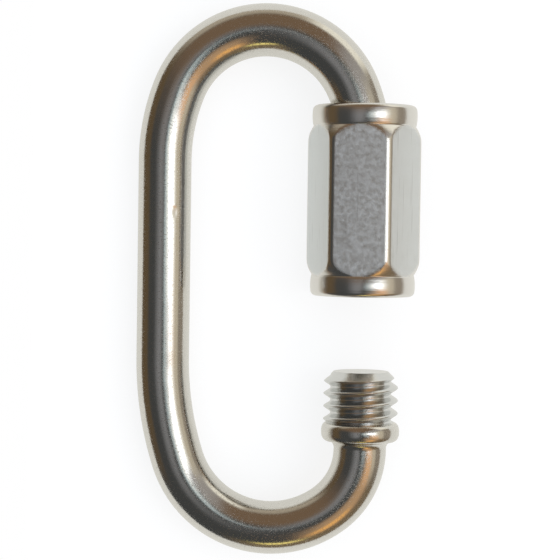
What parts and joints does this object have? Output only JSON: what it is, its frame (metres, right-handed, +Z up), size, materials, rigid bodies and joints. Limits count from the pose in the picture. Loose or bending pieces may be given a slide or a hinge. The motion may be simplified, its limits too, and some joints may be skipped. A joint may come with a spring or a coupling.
{
  "type": "chain quick link",
  "caption": "Oval steel quick link: a bent bar with a threaded stud at each end and a hexagon sleeve nut that closes the gate between them.",
  "frame": {"origin": "middle of the box, on the bench that the link lies on", "axes": "+Z up from the bench, +Y along the loop from the lower stud's bend towards the nut's bend, +X across the loop from the plain leg to the gate"},
  "size_m": [0.0218, 0.043, 0.0088],
  "materials": {
    "polished_steel": "tumbled and polished bright stainless steel",
    "nut_steel": "bright stainless steel with satin flats and polished rims"
  },
  "bodies": {
    "link": {"link_body": "polished_steel"},
    "nut": {"sleeve_nut": "nut_steel"}
  },
  "joints": [
    {"name": "nut_travel", "type": "slide", "parent": "link", "child": "nut", "axis": [0, -1, 0], "range_m": [0, 0.0098]}
  ]
}
